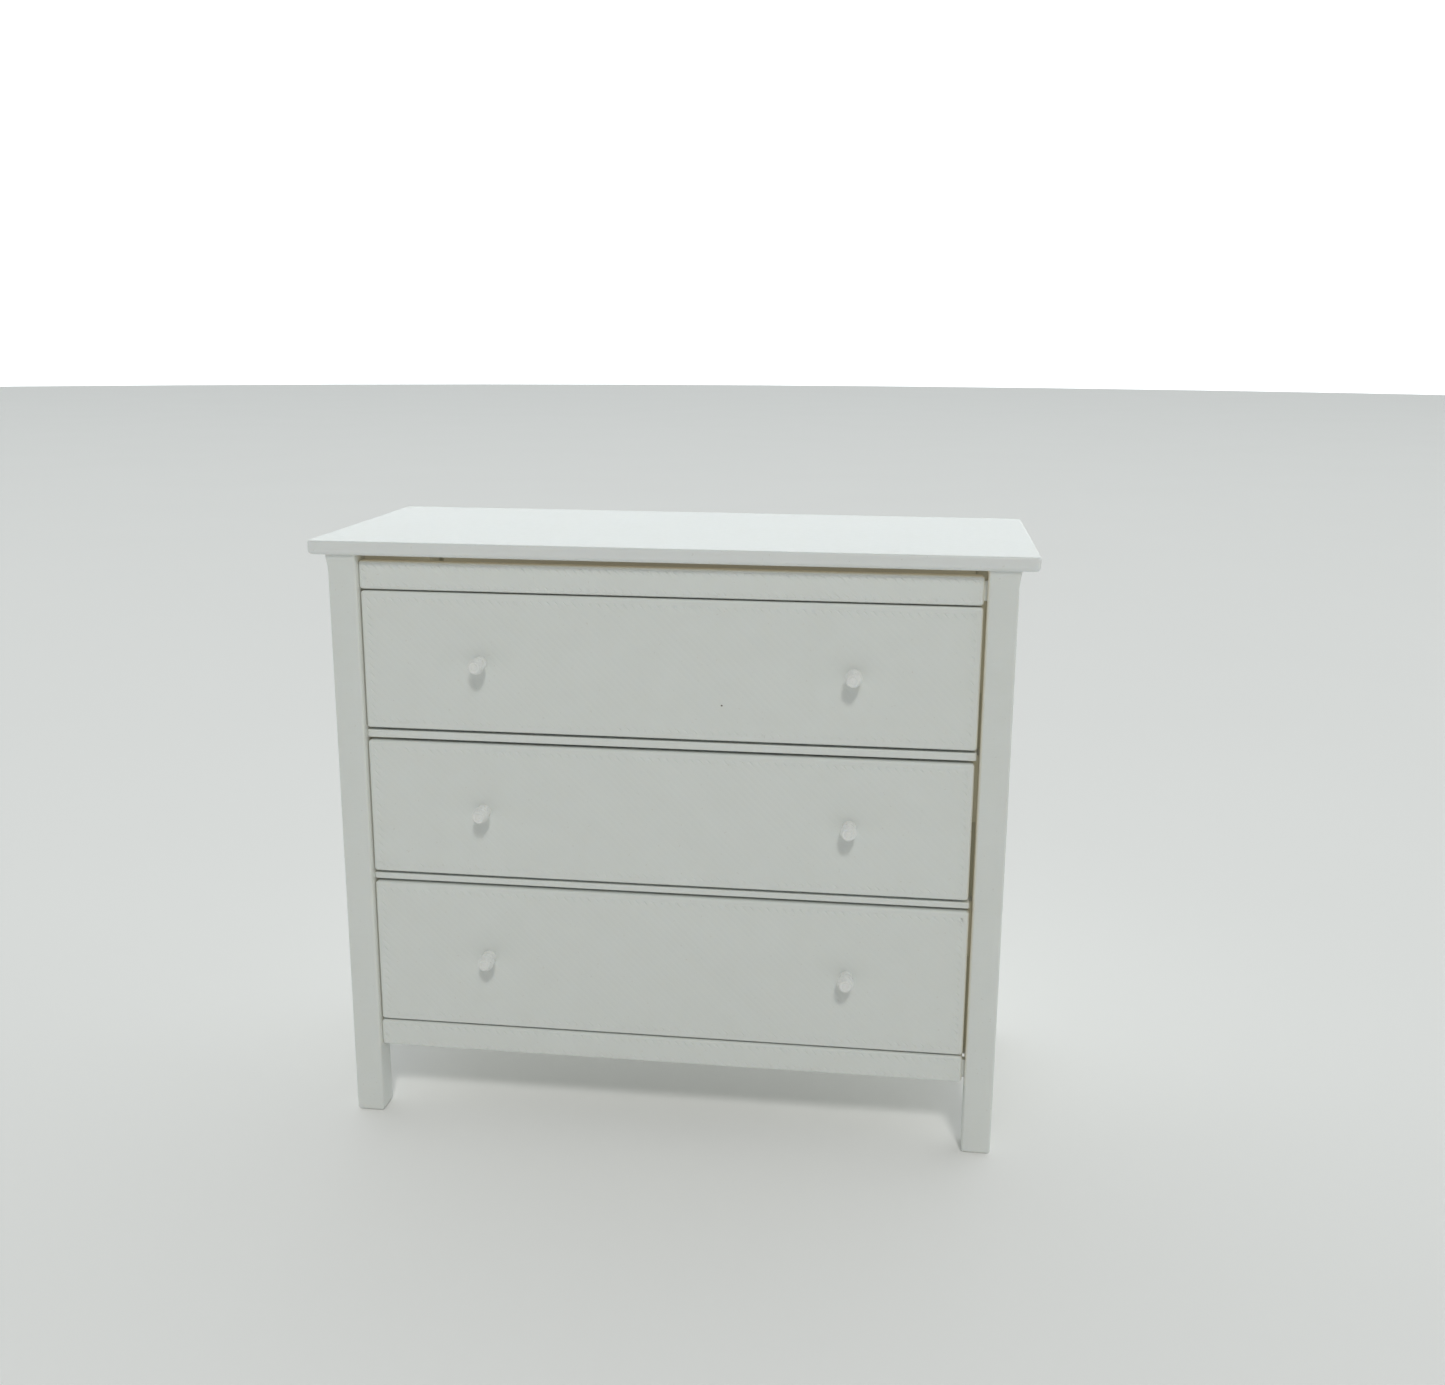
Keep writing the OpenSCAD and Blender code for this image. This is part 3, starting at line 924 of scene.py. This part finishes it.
make_board(top_plastic, board_painted_shade)
for place in ("front", "rear"):
    for side in ("left", "right"):
        leg = f"{place}_{side}_leg"
        if place == "front":
            inner = box_mm(leg)[1 if side == "left" else 0][0]
            make_leg(leg, leg_plastic, leg_painted_shade(leg), edge_glow(0, inner, LEG_THROUGH[leg]))
        else:
            make_leg(leg, leg_plastic, None, edge_glow(1, box_mm(leg)[0][1], REAR_THROUGH))
for shelf in ("upper_shelf", "lower_shelf", "bottom_shelf"):
    make_shelf(shelf, shelf_plastic, None)
make_rail("top_rail", front_plastic, rail_painted_shade, rail_glow)
make_rail("bottom_rail", front_plastic, end_painted_shade)
make_panel("left_side_panel", ("-Y", "+Z", "-X"), panel_plastic, panel_glow)
make_panel("right_side_panel", ("+Y", "+Z", "+X"), panel_plastic, panel_glow)
make_panel("back_panel", ("-X", "+Z", "+Y"), back_plastic, back_glow)
for drawer in DRAWERS:
    make_front(drawer, front_plastic, end_painted_shade)
    make_panel(f"{drawer}_drawer_left_side", ("+Y", "+Z", "+X"), box_plastic)
    make_panel(f"{drawer}_drawer_right_side", ("-Y", "+Z", "-X"), box_plastic)
    make_panel(f"{drawer}_drawer_back", ("+X", "+Z", "-Y"), box_plastic)
    make_panel(f"{drawer}_drawer_bottom", ("+X", "+Y", "+Z"), box_plastic)
    for side in ("left", "right"):
        make_knob(drawer, side, knob_plastic)

# ---- Floor, light and camera ----

# The floor, in metres, and its two tones
FLOOR_RADIUS, FLOOR_SIDES = 3.0, 64
FLOOR_TONES = (0.97, 0.96, 0.95, 1.0), (0.96, 0.95, 0.94, 1.0)

# The surround: dim in front, bright behind, and dim overhead
SKY_FRONT = (0.25, 0.245, 0.24, 1.0)
SKY_BACK = (1.48, 1.55, 1.55, 1.0)
SKY_TOP = (0.30, 0.325, 0.325, 1.0)

# The lamp, in metres and watts, and the point it faces
TARGET = (0.0, -0.01, 0.045)
KEY_PLACE, KEY_SIZE, KEY_POWER = (0.72, -2.98, 3.21), 0.6, 50.0
KEY_COLOUR = (1.0, 1.0, 0.965)

# The camera, in millimetres and radians: its place, how far it looks down, rolls and turns to the left
CAMERA_PLACE = (29.750, -194.513, 103.418)
CAMERA_DOWN, CAMERA_ROLL, CAMERA_LEFT = 0.23648, -0.00577, 0.12643
CAMERA_LENS, SENSOR = 37.014, 36.0


def make_floor():
    """A large pale floor."""
    material = bpy.data.materials.new("floor")
    material.use_nodes = True
    tree = material.node_tree
    shader = tree.nodes["Principled BSDF"]
    coordinates = node_of(tree, "ShaderNodeTexCoord").outputs["Object"]
    soft = ranged(tree, noise(tree, coordinates, 0.01), 0.0, 1.0, 0.3, 0.7)
    colour = mixed(tree, soft, *FLOOR_TONES)
    tree.links.new(colour, shader.inputs["Base Color"])
    shader.inputs["Roughness"].default_value = 0.9
    around = 2 * math.pi * np.arange(FLOOR_SIDES) / FLOOR_SIDES
    rim = np.column_stack([FLOOR_RADIUS * np.cos(around), FLOOR_RADIUS * np.sin(around), 0 * around])
    mesh = bpy.data.meshes.new("floor")
    mesh.from_pydata(rim.tolist(), [], [list(range(FLOOR_SIDES))])
    mesh.materials.append(material)
    floor = bpy.data.objects.new("floor", mesh)
    bpy.context.scene.collection.objects.link(floor)


def make_lamp(name, place, target, size, power, colour):
    """A square soft light that faces the target."""
    data = bpy.data.lights.new(name, "AREA")
    data.shape = "RECTANGLE"
    data.size = size
    data.size_y = size
    data.energy = power
    data.color = colour
    lamp = bpy.data.objects.new(name, data)
    bpy.context.scene.collection.objects.link(lamp)
    away = Vector(place) - Vector(target)
    lamp.matrix_world = Matrix.Translation(place) @ away.to_track_quat("Z", "Y").to_matrix().to_4x4()
    lamp.visible_camera = False


def make_sky():
    """Soft light from all round: bright from behind, and dim from in front and from above."""
    world = bpy.data.worlds.new("sky")
    bpy.context.scene.world = world
    world.use_nodes = True
    tree = world.node_tree
    background = tree.nodes["Background"]
    coordinates = node_of(tree, "ShaderNodeTexCoord").outputs["Generated"]
    split = node_of(tree, "ShaderNodeSeparateXYZ")
    tree.links.new(coordinates, split.inputs[0])
    depth = ranged(tree, split.outputs["Y"], 0.0, 1.0, -0.35, 0.45)
    colour = mixed(tree, depth, SKY_FRONT, SKY_BACK)
    height = ranged(tree, split.outputs["Z"], 0.0, 1.0, 0.25, 0.95)
    colour = mixed(tree, height, colour, SKY_TOP)
    tree.links.new(colour, background.inputs["Color"])
    background.inputs["Strength"].default_value = 1.0


def make_camera():
    """The camera at the angle the object is seen from."""
    data = bpy.data.cameras.new("camera")
    data.sensor_fit = "HORIZONTAL"
    data.sensor_width = SENSOR
    data.lens = CAMERA_LENS
    data.clip_start = 0.005
    data.clip_end = 20
    camera = bpy.data.objects.new("camera", data)
    bpy.context.scene.collection.objects.link(camera)
    turn = (
        Matrix.Rotation(CAMERA_LEFT, 4, "Z")
        @ Matrix.Rotation(-CAMERA_DOWN, 4, "X")
        @ Matrix.Rotation(CAMERA_ROLL, 4, "Y")
        @ Matrix.Rotation(math.pi / 2, 4, "X")
    )
    camera.matrix_world = Matrix.Translation(Vector(CAMERA_PLACE) * MM) @ turn
    bpy.context.scene.camera = camera


make_floor()
make_sky()
make_lamp("key", KEY_PLACE, TARGET, KEY_SIZE, KEY_POWER, KEY_COLOUR)
make_camera()
bpy.context.scene.view_settings.view_transform = "Standard"
